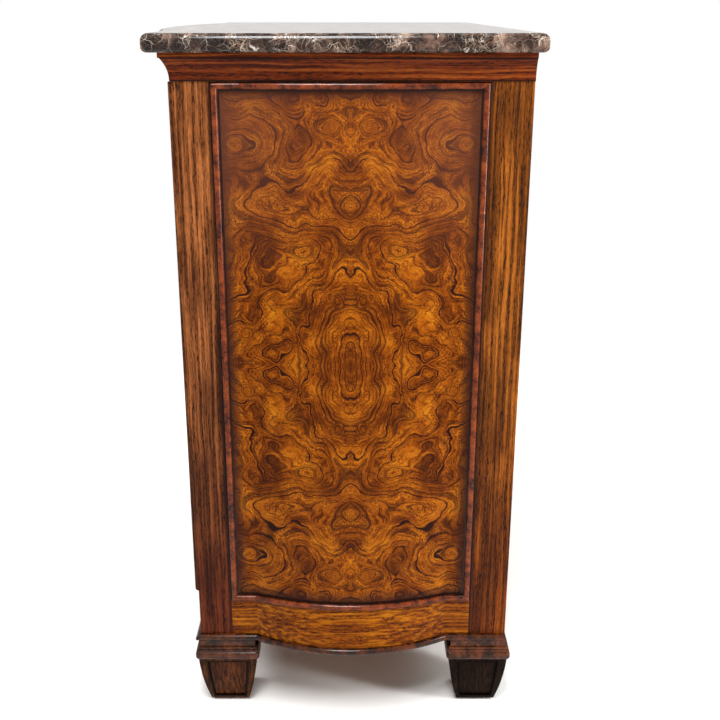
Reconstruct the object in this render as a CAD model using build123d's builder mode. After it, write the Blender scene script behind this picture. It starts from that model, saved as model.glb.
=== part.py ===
import os
from math import asin, cos, degrees, radians, sin, sqrt

from build123d import *

# Marble-topped chest of four drawers, in millimetres.
# The origin is on the floor, under the middle of the chest's outer box.
# The front faces -Y, the back +Y, and +Z is up.

# Case
case_width = 844.0
case_depth = 455.5
front_post_width = 48.0
back_post_width = 55.0
post_thickness = 50.0
post_arris = 1.0
rail_thickness = 22.0
bottom_rail_height = 66.5
front_rail_reveal = 11.0
back_top_rail_height = 60.0
top_board_thickness = 15.0
bottom_board_thickness = 12.0
bottom_board_lift = 16.0
back_panel_thickness = 8.0
housing_depth = 8.0

# Bow of the sides and of the front: flat at both ends, an arc between
side_panel_flat = 37.0
side_bow_top = 8.0
side_bow_rail = 27.0
side_bow_base = 38.0
front_flat = 91.0
front_bow = 35.0
front_bow_base = 46.0

# Framed panels and the bead round them
panel_recess = 4.0
panel_thickness = 9.0
bead_width = 11.0
bead_proud = 3.5
bead_flank = 0.6
bead_fillet_width = 2.0
bead_fillet_recess = 2.4
mitre_tolerance = 0.01
pilaster_width = 46.0
pilaster_thickness = 5.0
pilaster_lift = 15.0
pilaster_end_radius = 4.5

# Cornice under the top
cornice_gap = 1.0
cornice_height = 35.0
cornice_projection = 13.5
cornice_fillet = 6.5
cornice_foot = 2.0
cornice_step = 1.6

# Moulding round the base
base_bead_height = 10.0
base_bead_proud = 7.0
base_bead_edge = 2.0

# Marble top
marble_thickness = 23.0
marble_front_overhang = 30.0
marble_back_overhang = 10.0
marble_side_overhang = 30.0
marble_upper_round = 9.0
marble_lower_round = 7.0

# Feet
foot_height = 84.0
foot_top_width = 87.0
foot_middle_width = 76.0
foot_bottom_width = 55.0
foot_bottom_chamfer = 4.0
foot_panel_depth = 3.0
foot_panel_margin = 13.5
foot_panel_top_margin = 6.0
foot_panel_bottom_margin = 9.0
foot_panel_bottom_width = 48.0
cap_width = 96.0
cap_projection = 9.0
cap_torus_height = 14.0
cap_torus_round = 5.5
cap_lower_fillet_height = 3.0
cap_lower_fillet_setback = 2.0
cap_upper_fillet_height = 4.0
cap_upper_fillet_setback = 3.5
cap_neck_height = 11.0
cap_neck_setback = 6.0

# Drawers, from the top one down
drawer_openings = [145.0, 163.0, 181.0, 196.0]
drawer_rail_height = 16.0
drawer_rail_depth = 60.0
drawer_rail_recess = 1.0
drawer_gap = 1.5
drawer_front_thickness = 20.0
drawer_side_thickness = 12.0
drawer_side_drop = 10.0
drawer_back_thickness = 12.0
drawer_back_inset = 14.0
drawer_back_drop = 6.0
drawer_bottom_thickness = 6.0
drawer_bottom_lift = 8.0
drawer_groove = 6.0
drawer_end_clearance = 8.0
tail_length = 14.0
tail_width = 24.0
tail_neck = 18.0
tail_pitch = 38.0
runner_height = 14.0
runner_width = 24.0
runner_clearance = 0.3
guide_width = 22.0
guide_height = 14.0
kicker_clearance = 2.0

# Knobs
knob_offset = 170.0
knob_rose_radius = 15.0
knob_rose_height = 2.5
knob_neck_radius = 5.0
knob_head_radius = 11.0
knob_neck_height = 8.0
knob_projection = 20.0
knob_spigot_radius = 4.0
knob_spigot_length = 12.0
knob_spigot_clearance = 0.1

# Heights, from the floor up
drawer_count = len(drawer_openings)
cap_z = foot_height
case_z = (
    cap_z + cap_torus_height + cap_lower_fillet_height + cap_upper_fillet_height + cap_neck_height
)
rail_z = case_z + bottom_rail_height
drawers_z = rail_z + sum(drawer_openings) + (drawer_count - 1) * drawer_rail_height
panel_top_z = drawers_z + front_rail_reveal
cornice_z = panel_top_z + cornice_gap
marble_z = cornice_z + cornice_height
board_z = marble_z - top_board_thickness
bottom_board_z = case_z + bottom_board_lift

# Places in plan
total_depth = marble_back_overhang + case_depth + marble_front_overhang + front_bow
front_y = -total_depth / 2 + front_bow + marble_front_overhang
back_y = front_y + case_depth
middle_y = (front_y + back_y) / 2
half_width = case_width / 2
post_inner_x = half_width - post_thickness
side_span = (case_depth - front_post_width - back_post_width) / 2
side_chord = side_span - side_panel_flat
panel_y = front_y + front_post_width + side_span
front_chord = half_width - front_flat
back_rail_y = back_y - rail_thickness
front_face_depth = -panel_recess
front_inner_depth = front_face_depth - drawer_front_thickness
drawer_span = post_inner_x - drawer_gap
drawer_front_y = front_y - front_inner_depth
drawer_end_y = back_rail_y - drawer_end_clearance
housing_span = drawer_span - drawer_side_thickness + drawer_groove

# Each bowed face: a point amid its bow, the way it runs, its two ends and half its chord
FACES = {
    "front": ((0, front_y), (-1, 0, 0), (-half_width, half_width), front_chord),
    "right": ((half_width, panel_y), (0, -1, 0), (panel_y - back_y, panel_y - front_y), side_chord),
    "left": ((-half_width, panel_y), (0, 1, 0), (front_y - panel_y, back_y - panel_y), side_chord),
}


def face_plane(face, z):
    """Plan axes of a face at a height: x along the face, y outwards from it, z up."""
    middle, along, _, _ = FACES[face]
    return Plane(origin=(*middle, z), x_dir=along, z_dir=(0, 0, 1))


def bow_radius(face, bow):
    """Radius of the arc of a face that bows out by so much."""
    chord = FACES[face][3]
    return (chord**2 + bow**2) / (2 * bow)


def bow_line(face, start, end, bow, offset):
    """Lines parallel to a face in plan: flat, an arc between the springing points, flat."""
    radius = bow_radius(face, bow) + offset
    spring = sqrt(radius**2 - (radius - bow) ** 2)
    Line((start, offset), (-spring, offset))
    ThreePointArc((-spring, offset), (0, offset + bow), (spring, offset))
    Line((spring, offset), (end, offset))


def bowed_strip(face, z, span, bow, outer, inner, parallel=True):
    """Plan section of a bowed piece, with a parallel or a straight inner side."""
    with BuildSketch(face_plane(face, z)) as strip:
        with BuildLine():
            bow_line(face, -span, span, bow, outer)
            Line((span, outer), (span, inner))
            if parallel:
                bow_line(face, -span, span, bow, inner)
            else:
                Line((span, inner), (-span, inner))
            Line((-span, inner), (-span, outer))
        make_face()
    return strip.sketch


def bow_normal(u, z):
    """Plane on the drawers' bowed faces, square to the bow there."""
    radius = bow_radius("front", front_bow) - panel_recess
    centre_depth = front_bow - panel_recess - radius
    rise = sqrt(radius**2 - u**2)
    base = face_plane("front", z)
    seat = base.from_local_coords((u, centre_depth + rise, 0))
    return Plane(origin=seat, x_dir=(0, 0, 1), z_dir=base.x_dir * u + base.y_dir * rise)


def section_plane(base, u, depth, turn=0):
    """Plane square to a moulding's run: x outwards, y up; turn leans it off the middle."""
    across = Vector(sin(radians(turn)), cos(radians(turn)), 0)
    along = Vector(cos(radians(turn)), -sin(radians(turn)), 0)
    foot = base.from_local_coords((u, depth, 0))
    return Plane(
        origin=foot,
        x_dir=base.x_dir * across.X + base.y_dir * across.Y,
        z_dir=base.x_dir * along.X + base.y_dir * along.Y,
    )


def section(plane, outline):
    """Cross-section of a moulding, from its outline."""
    with BuildSketch(plane) as profile:
        with BuildLine():
            outline()
        make_face()
    return profile.sketch


def springing(base, u, u_sign, lean):
    """Mitre where an arch springs from a flat; its normal points to the arch's side."""
    normal = base.y_dir * sin(radians(lean)) - base.x_dir * (u_sign * (1 + cos(radians(lean))))
    return Plane(origin=base.from_local_coords((u, 0, 0)), x_dir=base.z_dir, z_dir=normal)


def moulding_run(face, z, start, end, bow, outline):
    """Moulding along a bowed face: two flats and an arch, mitred where the arch springs."""
    base = face_plane(face, z)
    chord = FACES[face][3]
    radius = bow_radius(face, bow)
    lean = degrees(asin(chord / radius))
    swing = 1.5 * lean
    centre = base.from_local_coords((0, bow - radius, 0))
    with BuildPart() as arch:
        swung = (radius * -sin(radians(swing)), bow - radius + radius * cos(radians(swing)))
        profile = section(section_plane(base, *swung, turn=-swing), outline)
        revolve(profile, axis=Axis(centre, -base.z_dir), revolution_arc=2 * swing)
        for u_sign in (-1, 1):
            split(bisect_by=springing(base, u_sign * chord, u_sign, lean), keep=Keep.TOP)
    flats = []
    for u, u_sign in ((start, -1), (end, 1)):
        with BuildPart() as flat:
            extrude(section(section_plane(base, u, 0), outline), amount=-u)
            split(bisect_by=springing(base, u_sign * chord, u_sign, lean), keep=Keep.BOTTOM)
        flats.append(flat.part)
    return arch.part.fuse(*flats, tol=mitre_tolerance)


def bead_outline(reach):
    """Outline of the panel bead: seat, round, then a small fillet; reach turns it over."""
    round_end = reach * (bead_width - bead_fillet_width)
    Line((-panel_recess, 0), (bead_flank, 0))
    ThreePointArc((bead_flank, 0), (bead_proud, round_end / 2), (-bead_flank, round_end))
    Polyline(
        (-bead_flank, round_end),
        (-bead_fillet_recess, round_end),
        (-bead_fillet_recess, reach * bead_width),
        (-panel_recess, reach * bead_width),
        (-panel_recess, 0),
    )


def mitre_plane(face, u, z, u_sign, z_sign):
    """Mitre through a corner of a bead frame; its normal points to the upright's side."""
    base = face_plane(face, z)
    normal = base.x_dir * u_sign + base.z_dir * z_sign
    return Plane(origin=base.from_local_coords((u, 0, 0)), x_dir=base.y_dir, z_dir=normal)


def bead_rail(face, z, span, bow, reach):
    """Horizontal bead of a frame, along the bowed face, mitred at both ends."""
    with BuildPart() as rail:
        add(moulding_run(face, z, -span, span, bow, lambda: bead_outline(reach)))
        for u_sign in (-1, 1):
            split(bisect_by=mitre_plane(face, u_sign * span, z, u_sign, reach), keep=Keep.BOTTOM)
    return rail.part


def bead_upright(face, low, high, span, u_sign):
    """Vertical bead of a frame, on the flat of the face, mitred at both ends."""
    base = face_plane(face, low)
    edge = Plane(
        origin=base.from_local_coords((u_sign * span, 0, 0)), x_dir=base.y_dir, z_dir=base.z_dir
    )
    with BuildPart() as upright:
        extrude(section(edge, lambda: bead_outline(u_sign)), amount=high - low)
        split(bisect_by=mitre_plane(face, u_sign * span, low, u_sign, 1), keep=Keep.TOP)
        split(bisect_by=mitre_plane(face, u_sign * span, high, u_sign, -1), keep=Keep.TOP)
    return upright.part


def bead_frame(face, low, high, span, low_bow, high_bow):
    """Four mitred beads round a panel, each a separate solid seated on the panel's face."""
    rails = [bead_rail(face, low, span, low_bow, 1), bead_rail(face, high, span, high_bow, -1)]
    uprights = [bead_upright(face, low, high, span, u_sign) for u_sign in (-1, 1)]
    return Compound([solid for piece in (*rails, *uprights) for solid in piece.solids()])


def cornice_outline():
    """Outline of the cornice: a small foot, a cove, then a fillet under the marble."""
    cove_top = cornice_height - cornice_fillet
    cove_edge = cornice_projection - cornice_step
    Polyline((0, 0), (cornice_foot, 0), (cornice_foot, cornice_step))
    TangentArc((cornice_foot, cornice_step), (cove_edge, cove_top), tangent=(0, 1))
    Polyline(
        (cove_edge, cove_top),
        (cornice_projection, cove_top),
        (cornice_projection, cornice_height),
        (0, cornice_height),
        (0, 0),
    )


def base_bead_outline():
    """Outline of the base moulding: a half-round bead between two narrow edges."""
    Line((0, 0), (base_bead_edge, 0))
    ThreePointArc(
        (base_bead_edge, 0), (base_bead_proud, base_bead_height / 2), (base_bead_edge, base_bead_height)
    )
    Polyline((base_bead_edge, base_bead_height), (0, base_bead_height), (0, 0))


def face_moulding(face, z, bow, reach, outline):
    """Moulding planted along a whole face, mitred to its neighbour at each front corner."""
    start, end = FACES[face][2]
    corners = {"front": ((start, -1), (end, 1)), "right": ((end, 1),), "left": ((start, -1),)}[face]
    start -= reach if face != "right" else 0
    end += reach if face != "left" else 0
    base = face_plane(face, z)
    with BuildPart() as moulding:
        if bow:
            add(moulding_run(face, z, start, end, bow, outline))
        else:
            extrude(section(section_plane(base, start, 0), outline), amount=end - start)
        for u, u_sign in corners:
            corner = base.from_local_coords((u, 0, 0))
            mitre = Plane(origin=corner, x_dir=base.z_dir, z_dir=base.x_dir * u_sign - base.y_dir)
            split(bisect_by=mitre, keep=Keep.BOTTOM)
    return moulding.part


def foot_body(x, y, depth):
    """Tapered block of a foot with curved flanks; depth shrinks it all round."""
    with BuildPart() as body:
        for x_dir, z_dir, mode in (
            ((1, 0, 0), (0, -1, 0), Mode.ADD),
            ((0, 1, 0), (1, 0, 0), Mode.INTERSECT),
        ):
            with BuildSketch(Plane(origin=(x, y, 0), x_dir=x_dir, z_dir=z_dir)):
                with BuildLine():
                    for sign in (-1, 1):
                        ThreePointArc(
                            (sign * (foot_bottom_width / 2 - depth), 0),
                            (sign * (foot_middle_width / 2 - depth), foot_height / 2),
                            (sign * (foot_top_width / 2 - depth), foot_height),
                        )
                    for z, width in ((0, foot_bottom_width), (foot_height, foot_top_width)):
                        Line((depth - width / 2, z), (width / 2 - depth, z))
                make_face()
            extrude(amount=foot_top_width, both=True, mode=mode)
    return body.part


def foot_recess(x, y, outwards, core):
    """Sunk panel on one outer face of a foot: a tapering prism down to the core."""
    low = foot_panel_bottom_margin
    high = foot_height - foot_panel_top_margin
    half_low = foot_panel_bottom_width / 2
    half_high = foot_top_width / 2 - foot_panel_margin
    face = Plane(origin=(x, y, 0), x_dir=Vector(0, 0, 1).cross(Vector(*outwards)), z_dir=outwards)
    with BuildPart() as recess:
        with BuildSketch(face):
            Polygon(
                (-half_low, low), (half_low, low), (half_high, high), (-half_high, high), align=None
            )
        extrude(amount=foot_top_width)
        add(core, mode=Mode.SUBTRACT)
    return recess.part


def write(shape, name):
    """Label one piece and write it as its own file."""
    shape.label = name
    export_step(shape, f"parts/{name}.step")


os.makedirs("parts", exist_ok=True)

# Back panel, let into the posts and rails from behind
with BuildPart() as back_panel:
    with BuildSketch(Plane.XY.offset(rail_z - housing_depth)):
        with Locations((0, back_y - back_panel_thickness / 2)):
            Rectangle(2 * (post_inner_x + housing_depth), back_panel_thickness)
    extrude(amount=board_z - back_top_rail_height - rail_z + 2 * housing_depth)

# Corner posts
post_boxes = {}
for depth_name, post_y, post_width in (
    ("front", front_y + front_post_width / 2, front_post_width),
    ("back", back_y - back_post_width / 2, back_post_width),
):
    for side_name, x_sign in (("left", -1), ("right", 1)):
        corner = (x_sign * half_width, front_y if depth_name == "front" else back_y, case_z)
        with BuildPart() as post:
            with BuildSketch(Plane.XY.offset(case_z)):
                with Locations((x_sign * (half_width - post_thickness / 2), post_y)):
                    Rectangle(post_thickness, post_width)
            extrude(amount=board_z - case_z)
            post_boxes[depth_name, side_name] = post.part
            chamfer(post.edges().filter_by(Axis.Z).sort_by_distance(corner)[0], post_arris)
            add(back_panel.part, mode=Mode.SUBTRACT)
        write(post.part, f"{depth_name}_{side_name}_post")
write(back_panel.part, "back_panel")

# Bottom board, housed in the rails and notched round the posts
with BuildPart() as bottom_board:
    with BuildSketch(Plane.XY.offset(bottom_board_z)):
        with Locations((0, middle_y)):
            Rectangle(
                case_width - 2 * (rail_thickness - housing_depth),
                case_depth - 2 * (rail_thickness - housing_depth),
            )
    extrude(amount=bottom_board_thickness)
    for box in post_boxes.values():
        add(box, mode=Mode.SUBTRACT)
write(bottom_board.part, "bottom_board")

# Bottom rails of the front and the sides, swelling towards the base
for face, span, base_bow, top_bow in (
    ("front", post_inner_x, front_bow_base, front_bow),
    ("left", side_span, side_bow_base, side_bow_rail),
    ("right", side_span, side_bow_base, side_bow_rail),
):
    with BuildPart() as bottom_rail:
        foot_z = case_z + base_bead_height
        extrude(
            bowed_strip(face, case_z, span, base_bow, 0, -rail_thickness, parallel=False),
            amount=base_bead_height,
        )
        loft(
            [
                bowed_strip(face, foot_z, span, base_bow, 0, -rail_thickness, parallel=False),
                bowed_strip(face, rail_z, span, top_bow, 0, -rail_thickness, parallel=False),
            ],
            ruled=True,
        )
        add(bottom_board.part, mode=Mode.SUBTRACT)
    write(bottom_rail.part, f"{face}_bottom_rail")

# Top rails of the sides, straight behind the cornice
for face in ("left", "right"):
    with BuildPart() as top_rail:
        with BuildSketch(face_plane(face, panel_top_z)):
            with Locations((0, -rail_thickness / 2)):
                Rectangle(2 * side_span, rail_thickness)
        extrude(amount=board_z - panel_top_z)
    write(top_rail.part, f"{face}_top_rail")

# Top rail of the front, bowed
with BuildPart() as front_top_rail:
    extrude(
        bowed_strip("front", drawers_z, post_inner_x, front_bow, 0, -rail_thickness),
        amount=board_z - drawers_z,
    )
write(front_top_rail.part, "front_top_rail")

# Back rails
for name, low, high in (
    ("back_bottom_rail", case_z, rail_z),
    ("back_top_rail", board_z - back_top_rail_height, board_z),
):
    with BuildPart() as back_rail:
        with BuildSketch(Plane.XY.offset(low)):
            with Locations((0, back_y - rail_thickness / 2)):
                Rectangle(2 * post_inner_x, rail_thickness)
        extrude(amount=high - low)
        add(back_panel.part, mode=Mode.SUBTRACT)
        add(bottom_board.part, mode=Mode.SUBTRACT)
    write(back_rail.part, name)

# Side panels, bowed more towards the base, and the mitred beads round them
for face in ("left", "right"):
    with BuildPart() as panel:
        inner = -panel_recess - panel_thickness
        loft(
            [
                bowed_strip(face, level, side_span, bow, -panel_recess, inner)
                for level, bow in ((rail_z, side_bow_rail), (panel_top_z, side_bow_top))
            ],
            ruled=True,
        )
    write(panel.part, f"{face}_panel")
    swell = (side_bow_rail - side_bow_top) * bead_width / (panel_top_z - rail_z)
    beads = bead_frame(face, rail_z, panel_top_z, side_span, side_bow_rail, side_bow_top + swell)
    write(beads, f"{face}_panel_moulding")

# Pilaster strips on the front posts
for side_name, x_sign in (("left", -1), ("right", 1)):
    pilaster_low = rail_z + pilaster_lift
    with BuildPart() as pilaster:
        with BuildSketch(Plane.XY.offset(pilaster_low)):
            with Locations((x_sign * (half_width - post_thickness / 2), front_y - pilaster_thickness / 2)):
                Rectangle(pilaster_width, pilaster_thickness)
        extrude(amount=panel_top_z - pilaster_low)
        outer_face = pilaster.faces().sort_by(Axis.Y)[0]
        fillet(outer_face.edges().sort_by(Axis.Z)[0], pilaster_end_radius)
        chamfer(pilaster.faces().sort_by(Axis.Y)[0].edges().filter_by(Axis.Z), post_arris)
    write(pilaster.part, f"{side_name}_pilaster")

# Top board under the marble
with BuildPart() as top_board:
    with BuildSketch(face_plane("front", board_z)):
        with BuildLine():
            bow_line("front", -half_width, half_width, front_bow, 0)
            Polyline(
                (half_width, 0), (half_width, -case_depth), (-half_width, -case_depth), (-half_width, 0)
            )
        make_face()
    extrude(amount=top_board_thickness)
write(top_board.part, "top_board")

# Marble top, bullnosed all round
with BuildPart() as marble_top:
    marble_span = half_width + marble_side_overhang
    marble_back = -case_depth - marble_back_overhang
    with BuildSketch(face_plane("front", marble_z)):
        with BuildLine():
            bow_line("front", -marble_span, marble_span, front_bow, marble_front_overhang)
            Polyline(
                (marble_span, marble_front_overhang),
                (marble_span, marble_back),
                (-marble_span, marble_back),
                (-marble_span, marble_front_overhang),
            )
        make_face()
    extrude(amount=marble_thickness)
    fillet(marble_top.faces().sort_by(Axis.Z)[-1].edges(), marble_upper_round)
    fillet(marble_top.faces().sort_by(Axis.Z)[0].edges(), marble_lower_round)
write(marble_top.part, "marble_top")

# Cornice under the marble and moulding round the base
for face in ("front", "left", "right"):
    bow = front_bow if face == "front" else 0
    write(face_moulding(face, cornice_z, bow, cornice_projection, cornice_outline), f"cornice_{face}")
for face in ("front", "left", "right"):
    bow = front_bow_base if face == "front" else side_bow_base
    bead = face_moulding(face, case_z, bow, base_bead_proud, base_bead_outline)
    write(bead, f"base_moulding_{face}")

# Feet and their caps
foot_places = {
    (depth_name, side_name): (
        x_sign * (half_width + cap_projection - cap_width / 2),
        y_edge - y_sign * (cap_width / 2 - cap_projection),
        x_sign,
        y_sign,
    )
    for depth_name, y_sign, y_edge in (("front", -1, front_y), ("back", 1, back_y))
    for side_name, x_sign in (("left", -1), ("right", 1))
}
for (depth_name, side_name), (x, y, x_sign, y_sign) in foot_places.items():
    core = foot_body(x, y, foot_panel_depth)
    with BuildPart() as foot:
        add(foot_body(x, y, 0))
        chamfer(foot.faces().sort_by(Axis.Z)[0].edges(), foot_bottom_chamfer)
        add(foot_recess(x, y, (x_sign, 0, 0), core), mode=Mode.SUBTRACT)
        add(foot_recess(x, y, (0, y_sign, 0), core), mode=Mode.SUBTRACT)
    write(foot.part, f"{depth_name}_{side_name}_foot")

cap_steps = (
    (cap_torus_height, 0, cap_torus_round),
    (cap_lower_fillet_height, cap_lower_fillet_setback, 0),
    (cap_upper_fillet_height, cap_upper_fillet_setback, 0),
    (cap_neck_height, cap_neck_setback, 0),
)
with BuildPart() as foot_caps:
    for x, y, _, _ in foot_places.values():
        step_z = cap_z
        for height, setback, rounding in cap_steps:
            with BuildPart(mode=Mode.PRIVATE) as step:
                with BuildSketch(Plane(origin=(x, y, step_z))):
                    Rectangle(cap_width - 2 * setback, cap_width - 2 * setback)
                extrude(amount=height)
                if rounding:
                    fillet(step.edges(), rounding)
            add(step.part)
            step_z += height
write(foot_caps.part, "foot_caps")

# Rails between the drawers, and the openings above each rail
openings = []
opening_top = drawers_z
for opening in drawer_openings:
    openings.append((opening_top - opening, opening))
    opening_top -= opening + drawer_rail_height
with BuildPart() as drawer_rails:
    for opening_z, _ in openings[:-1]:
        extrude(
            bowed_strip(
                "front",
                opening_z - drawer_rail_height,
                post_inner_x,
                front_bow,
                -drawer_rail_recess,
                -drawer_rail_depth,
                parallel=False,
            ),
            amount=drawer_rail_height,
        )
write(drawer_rails.part, "drawer_rails")

# Runners with side guides, between the front rails and the back posts
with BuildPart() as drawer_runners:
    for opening_z, _ in openings:
        lowest = opening_z == openings[-1][0]
        front_end = front_y + (rail_thickness if lowest else drawer_rail_depth)
        runner_z = opening_z + drawer_gap - runner_clearance - runner_height
        for x_sign in (-1, 1):
            with BuildSketch(Plane.XY.offset(runner_z)):
                with Locations((x_sign * (post_inner_x - runner_width / 2), (front_end + back_rail_y) / 2)):
                    Rectangle(runner_width, back_rail_y - front_end)
            extrude(amount=runner_height)
            with BuildSketch(Plane.XY.offset(runner_z)):
                with Locations((x_sign * (post_inner_x + guide_width / 2), panel_y)):
                    Rectangle(guide_width, 2 * side_span)
            extrude(amount=runner_height + guide_height)
write(drawer_runners.part, "drawer_runners")

# Kickers over the sides of the top drawer
side_heights = [opening - 2 * drawer_gap - drawer_side_drop for opening in drawer_openings]
kicker_z = openings[0][0] + drawer_gap + side_heights[0] + kicker_clearance
kicker_front = drawer_front_y + drawer_gap
with BuildPart() as top_kickers:
    for x_sign in (-1, 1):
        with BuildSketch(Plane.XY.offset(kicker_z)):
            with Locations((x_sign * (post_inner_x - runner_width / 2), (kicker_front + back_rail_y) / 2)):
                Rectangle(runner_width, back_rail_y - kicker_front)
        extrude(amount=board_z - kicker_z)
write(top_kickers.part, "top_kickers")

# Drawers
for number, ((opening_z, opening), side_height) in enumerate(zip(openings, side_heights), start=1):
    low = opening_z + drawer_gap
    high = opening_z + opening - drawer_gap
    bottom_z = low + drawer_bottom_lift
    back_z = bottom_z + drawer_bottom_thickness
    rear_y = drawer_end_y - drawer_back_inset

    # Bottom, in grooves of the front and the sides, and under the back
    with BuildPart() as drawer_bottom:
        with BuildSketch(face_plane("front", bottom_z)):
            groove_end = front_inner_depth + drawer_groove
            with BuildLine():
                bow_line("front", -housing_span, housing_span, front_bow, groove_end)
                Polyline(
                    (housing_span, groove_end),
                    (housing_span, front_y - rear_y),
                    (-housing_span, front_y - rear_y),
                    (-housing_span, groove_end),
                )
            make_face()
        extrude(amount=drawer_bottom_thickness)
    write(drawer_bottom.part, f"drawer_{number}_bottom")

    # Back, housed in the sides
    with BuildPart() as drawer_back:
        with BuildSketch(Plane.XY.offset(back_z)):
            with Locations((0, rear_y - drawer_back_thickness / 2)):
                Rectangle(2 * housing_span, drawer_back_thickness)
        extrude(amount=low + side_height - drawer_back_drop - back_z)
    write(drawer_back.part, f"drawer_{number}_back")

    # Sides, with dovetails at their front ends
    tail_count = max(2, round(side_height / tail_pitch))
    tail_spacing = side_height / tail_count
    with BuildPart() as drawer_sides:
        for side_x in (-drawer_span, drawer_span - drawer_side_thickness):
            with BuildSketch(Plane.YZ.offset(side_x)):
                with Locations(((drawer_front_y + drawer_end_y) / 2, low + side_height / 2)):
                    Rectangle(drawer_end_y - drawer_front_y, side_height)
                for tail in range(tail_count):
                    tail_z = low + (tail + 0.5) * tail_spacing
                    Polygon(
                        (drawer_front_y, tail_z - tail_neck / 2),
                        (drawer_front_y, tail_z + tail_neck / 2),
                        (drawer_front_y - tail_length, tail_z + tail_width / 2),
                        (drawer_front_y - tail_length, tail_z - tail_width / 2),
                        align=None,
                    )
            extrude(amount=drawer_side_thickness)
        add(drawer_bottom.part, mode=Mode.SUBTRACT)
        add(drawer_back.part, mode=Mode.SUBTRACT)
    write(drawer_sides.part, f"drawer_{number}_sides")

    # Knobs, square to the bow, each with a spigot let into the front
    knob_planes = [bow_normal(knob_x, (low + high) / 2) for knob_x in (-knob_offset, knob_offset)]
    with BuildPart() as drawer_knobs:
        for seat in knob_planes:
            with BuildSketch(Plane(origin=seat.origin, x_dir=seat.x_dir, z_dir=-seat.y_dir)):
                with BuildLine():
                    Polyline(
                        (0, -knob_spigot_length),
                        (knob_spigot_radius, -knob_spigot_length),
                        (knob_spigot_radius, 0),
                        (knob_rose_radius, 0),
                        (knob_rose_radius, knob_rose_height / 2),
                    )
                    Line((knob_rose_radius, knob_rose_height / 2), (knob_neck_radius, knob_rose_height))
                    Line((knob_neck_radius, knob_rose_height), (knob_neck_radius, knob_neck_height))
                    ThreePointArc(
                        (knob_neck_radius, knob_neck_height),
                        (knob_head_radius, (knob_neck_height + knob_projection) / 2),
                        (knob_neck_radius, knob_projection),
                    )
                    Polyline((knob_neck_radius, knob_projection), (0, knob_projection))
                    Line((0, knob_projection), (0, -knob_spigot_length))
                make_face()
            revolve(axis=Axis(seat.origin, seat.z_dir))
    write(drawer_knobs.part, f"drawer_{number}_knobs")

    # Front, bowed, with sockets for the dovetails, the bottom's groove and the knobs' holes
    with BuildPart() as drawer_front:
        extrude(
            bowed_strip("front", low, drawer_span, front_bow, front_face_depth, front_inner_depth),
            amount=high - low,
        )
        add(drawer_sides.part, mode=Mode.SUBTRACT)
        add(drawer_bottom.part, mode=Mode.SUBTRACT)
        for hole_plane in knob_planes:
            with BuildSketch(hole_plane):
                Circle(knob_spigot_radius + knob_spigot_clearance)
            extrude(amount=-knob_spigot_length - knob_spigot_clearance, mode=Mode.SUBTRACT)
    write(drawer_front.part, f"drawer_{number}_front")
    beads = bead_frame("front", low, high, drawer_span, front_bow, front_bow)
    write(beads, f"drawer_{number}_moulding")
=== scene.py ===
"""Looks of a marble-topped, bow-fronted chest of drawers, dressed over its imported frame.

Patterns are sized in millimetres of the object's own space. Pieces, lamps and camera are in metres.
"""

import logging
import math
from collections.abc import Sequence
from dataclasses import dataclass, field
from enum import Enum

import bpy
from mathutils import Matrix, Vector


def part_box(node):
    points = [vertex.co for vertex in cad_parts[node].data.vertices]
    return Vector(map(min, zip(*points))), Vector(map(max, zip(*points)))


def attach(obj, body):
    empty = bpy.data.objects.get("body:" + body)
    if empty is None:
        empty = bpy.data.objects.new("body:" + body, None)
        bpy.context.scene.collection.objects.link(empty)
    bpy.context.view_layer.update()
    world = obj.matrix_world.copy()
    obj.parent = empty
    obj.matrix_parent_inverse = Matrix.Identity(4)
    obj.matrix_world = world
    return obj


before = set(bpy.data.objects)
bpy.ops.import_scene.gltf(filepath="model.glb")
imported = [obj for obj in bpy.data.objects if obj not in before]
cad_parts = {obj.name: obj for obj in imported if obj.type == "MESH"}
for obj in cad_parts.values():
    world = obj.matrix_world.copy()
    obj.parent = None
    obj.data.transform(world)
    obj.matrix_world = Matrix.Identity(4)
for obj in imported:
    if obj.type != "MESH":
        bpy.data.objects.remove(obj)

log = logging.getLogger("chest")

Socket = bpy.types.NodeSocket

MM_PER_M = 1000.0
GLOSS_IOR = 1.5
SIDES = ("left", "right")


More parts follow.
